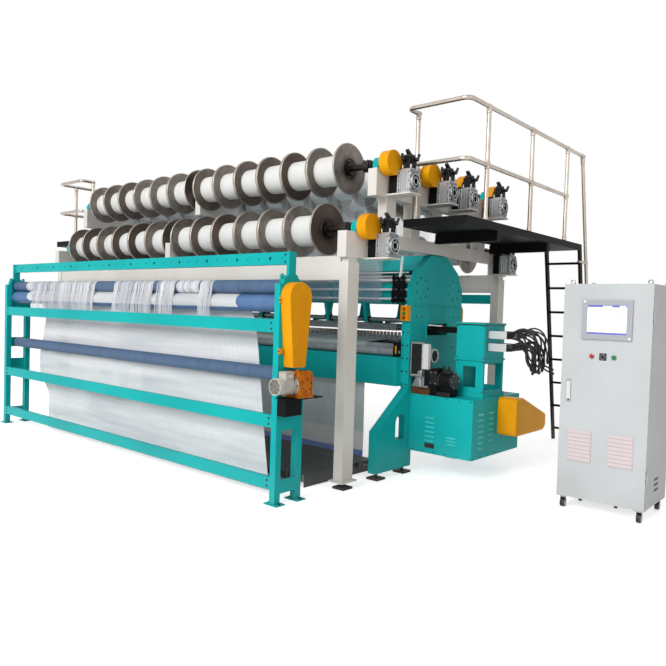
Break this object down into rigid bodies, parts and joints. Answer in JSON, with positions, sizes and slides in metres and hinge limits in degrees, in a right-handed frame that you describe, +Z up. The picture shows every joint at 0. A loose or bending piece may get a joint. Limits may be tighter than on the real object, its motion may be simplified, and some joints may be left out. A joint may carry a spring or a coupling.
{
  "type": "warp knitting machine",
  "caption": "Long warp knitting machine with teal end frames, an overhead creel of section-beam rows with geared let-off drives, a cloth take-up stand, service platforms and a control cabinet.",
  "frame": {"origin": "on the floor below the middle of the overall outline", "axes": "+X along the machine to the drive end, +Y from the take-up stand at the front to the back, +Z up"},
  "size_m": [8.1956, 4.917, 3.561],
  "materials": {
    "teal_paint": "semi-gloss teal enamel on cast and welded frames",
    "cream_paint": "semi-gloss off-white enamel",
    "yellow_paint": "semi-gloss safety yellow on guards",
    "orange_paint": "orange gear unit paint",
    "black_steel": "black powder coat",
    "grey_paint": "light grey fine-texture powder coat",
    "motor_grey": "pale grey motor paint",
    "steel": "ground steel",
    "stainless": "polished stainless tube",
    "flange_metal": "dull turned aluminium flanges",
    "aluminium": "cast and extruded aluminium",
    "roller_blue": "slate-blue rubber covering",
    "roller_grey": "grey friction covering",
    "yarn": "white synthetic yarn",
    "cloth": "white warp-knit net",
    "black_plastic": "black plastic",
    "red_plastic": "red push button",
    "green_plastic": "green push button",
    "panel_plastic": "dark grey operator panel",
    "cable_rubber": "black cable jacket"
  },
  "bodies": {
    "machine": {"bearing_blocks": "teal_paint", "end_frames": "teal_paint", "machine_beams": "teal_paint", "knitting_bed": "steel", "bar_hangers": "teal_paint", "drive_box": "teal_paint", "main_guard": "yellow_paint", "pattern_drive": "teal_paint", "actuators": "aluminium", "cables": "cable_rubber", "take_down_drive": "black_steel", "button_station": "yellow_paint", "creel_frame": "cream_paint", "creel_uprights": "cream_paint", "let_off_guards": "yellow_paint", "let_off_gearboxes": "aluminium", "let_off_motors": "black_steel", "platforms": "black_steel", "handrails": "stainless", "stand_frames": "teal_paint", "stand_rails": "teal_paint", "chain_guard": "yellow_paint", "motor_shelf": "black_steel", "take_up_gearbox": "orange_paint", "take_up_motor": "motor_grey", "knit_fabric": "cloth", "warp_sheets": "yarn", "floor_plate": "black_steel", "levelling_feet": "black_steel", "cabinet_body": "grey_paint", "casters": "black_plastic"},
    "warp_beam_1": {"warp_beam_1": "flange_metal", "warp_yarn_1": "yarn"},
    "warp_beam_2": {"warp_beam_2": "flange_metal", "warp_yarn_2": "yarn"},
    "warp_beam_3": {"warp_beam_3": "flange_metal", "warp_yarn_3": "yarn"},
    "warp_beam_4": {"warp_beam_4": "flange_metal", "warp_yarn_4": "yarn"},
    "warp_beam_5": {"warp_beam_5": "flange_metal", "warp_yarn_5": "yarn"},
    "warp_beam_6": {"warp_beam_6": "flange_metal", "warp_yarn_6": "yarn"},
    "press_roller": {"press_roller": "roller_blue"},
    "take_up_roller": {"take_up_roller": "roller_blue"},
    "guide_roller": {"guide_roller": "roller_blue"},
    "take_down_roller_back": {"take_down_roller_back": "roller_grey"},
    "take_down_roller_front": {"take_down_roller_front": "roller_grey"},
    "guide_bars_front": {"guide_bars_front": "aluminium"},
    "guide_bars_back": {"guide_bars_back": "aluminium"},
    "needle_bar_front": {"needle_bar_front": "steel"},
    "needle_bar_back": {"needle_bar_back": "steel"},
    "station_stop_button": {"station_stop_button": "red_plastic"},
    "station_start_button": {"station_start_button": "green_plastic"},
    "door_handle": {"door_handle": "grey_paint"},
    "stop_button": {"stop_button": "red_plastic"},
    "power_switch": {"power_switch": "black_plastic"},
    "start_button": {"start_button": "green_plastic"},
    "cabinet_door": {"cabinet_door": "grey_paint", "control_panel": "panel_plastic"}
  },
  "joints": [
    {"name": "warp_beam_1_turn", "type": "hinge", "parent": "machine", "child": "warp_beam_1", "pos_m": [-0.7772, -1.4135, 2.35], "axis": [1, 0, 0], "continuous": true},
    {"name": "warp_beam_2_turn", "type": "hinge", "parent": "machine", "child": "warp_beam_2", "pos_m": [-0.7772, -1.1235, 2.965], "axis": [1, 0, 0], "continuous": true},
    {"name": "warp_beam_3_turn", "type": "hinge", "parent": "machine", "child": "warp_beam_3", "pos_m": [-0.7772, -0.4385, 2.965], "axis": [1, 0, 0], "continuous": true},
    {"name": "warp_beam_4_turn", "type": "hinge", "parent": "machine", "child": "warp_beam_4", "pos_m": [-0.7772, 0.2415, 2.965], "axis": [1, 0, 0], "continuous": true},
    {"name": "warp_beam_5_turn", "type": "hinge", "parent": "machine", "child": "warp_beam_5", "pos_m": [-0.7772, 0.9265, 2.965], "axis": [1, 0, 0], "continuous": true},
    {"name": "warp_beam_6_turn", "type": "hinge", "parent": "machine", "child": "warp_beam_6", "pos_m": [-0.7772, 1.2165, 2.35], "axis": [1, 0, 0], "continuous": true},
    {"name": "take_up_turn", "type": "hinge", "parent": "machine", "child": "take_up_roller", "pos_m": [-0.7772, -2.2035, 1.64], "axis": [1, 0, 0], "continuous": true},
    {"name": "press_turn", "type": "hinge", "parent": "machine", "child": "press_roller", "pos_m": [-0.7772, -2.2035, 1.78], "axis": [1, 0, 0], "continuous": true},
    {"name": "guide_turn", "type": "hinge", "parent": "machine", "child": "guide_roller", "pos_m": [-0.7772, -2.1885, 1.055], "axis": [1, 0, 0], "continuous": true},
    {"name": "take_down_back_turn", "type": "hinge", "parent": "machine", "child": "take_down_roller_back", "pos_m": [-0.7772, -0.5485, 1.24], "axis": [1, 0, 0], "continuous": true},
    {"name": "take_down_front_turn", "type": "hinge", "parent": "machine", "child": "take_down_roller_front", "pos_m": [-0.7772, -0.6319, 1.2], "axis": [1, 0, 0], "continuous": true},
    {"name": "guide_front_shog", "type": "slide", "parent": "machine", "child": "guide_bars_front", "axis": [1, 0, 0], "range_m": [-0.015, 0.015]},
    {"name": "guide_back_shog", "type": "slide", "parent": "machine", "child": "guide_bars_back", "axis": [1, 0, 0], "range_m": [-0.015, 0.015]},
    {"name": "needle_front_lift", "type": "slide", "parent": "machine", "child": "needle_bar_front", "axis": [0, 0, 1], "range_m": [-0.008, 0.008]},
    {"name": "needle_back_lift", "type": "slide", "parent": "machine", "child": "needle_bar_back", "axis": [0, 0, 1], "range_m": [-0.008, 0.008]},
    {"name": "station_stop_press", "type": "slide", "parent": "machine", "child": "station_stop_button", "axis": [0, 1, 0], "range_m": [0, 0.004], "stiffness_N_per_m": 400},
    {"name": "station_start_press", "type": "slide", "parent": "machine", "child": "station_start_button", "axis": [0, 1, 0], "range_m": [0, 0.004], "stiffness_N_per_m": 400},
    {"name": "door_swing", "type": "hinge", "parent": "machine", "child": "cabinet_door", "pos_m": [4.0908, -0.5965, 0.9925], "axis": [0, 0, 1], "range_deg": [0, 110]},
    {"name": "handle_turn", "type": "hinge", "parent": "cabinet_door", "child": "door_handle", "pos_m": [3.4528, -0.6035, 1.055], "axis": [0, 1, 0], "range_deg": [0, 85]},
    {"name": "stop_press", "type": "slide", "parent": "cabinet_door", "child": "stop_button", "axis": [0, 1, 0], "range_m": [0, 0.004], "stiffness_N_per_m": 400},
    {"name": "start_press", "type": "slide", "parent": "cabinet_door", "child": "start_button", "axis": [0, 1, 0], "range_m": [0, 0.004], "stiffness_N_per_m": 400},
    {"name": "switch_turn", "type": "hinge", "parent": "cabinet_door", "child": "power_switch", "pos_m": [3.7188, -0.6035, 1.29], "axis": [0, 1, 0], "range_deg": [-45, 45]}
  ],
  "couplings": [
    {"joint": "press_turn", "follows": "take_up_turn", "ratio": -1.25},
    {"joint": "take_down_front_turn", "follows": "take_down_back_turn", "ratio": -1},
    {"joint": "needle_back_lift", "follows": "needle_front_lift", "ratio": -1}
  ]
}
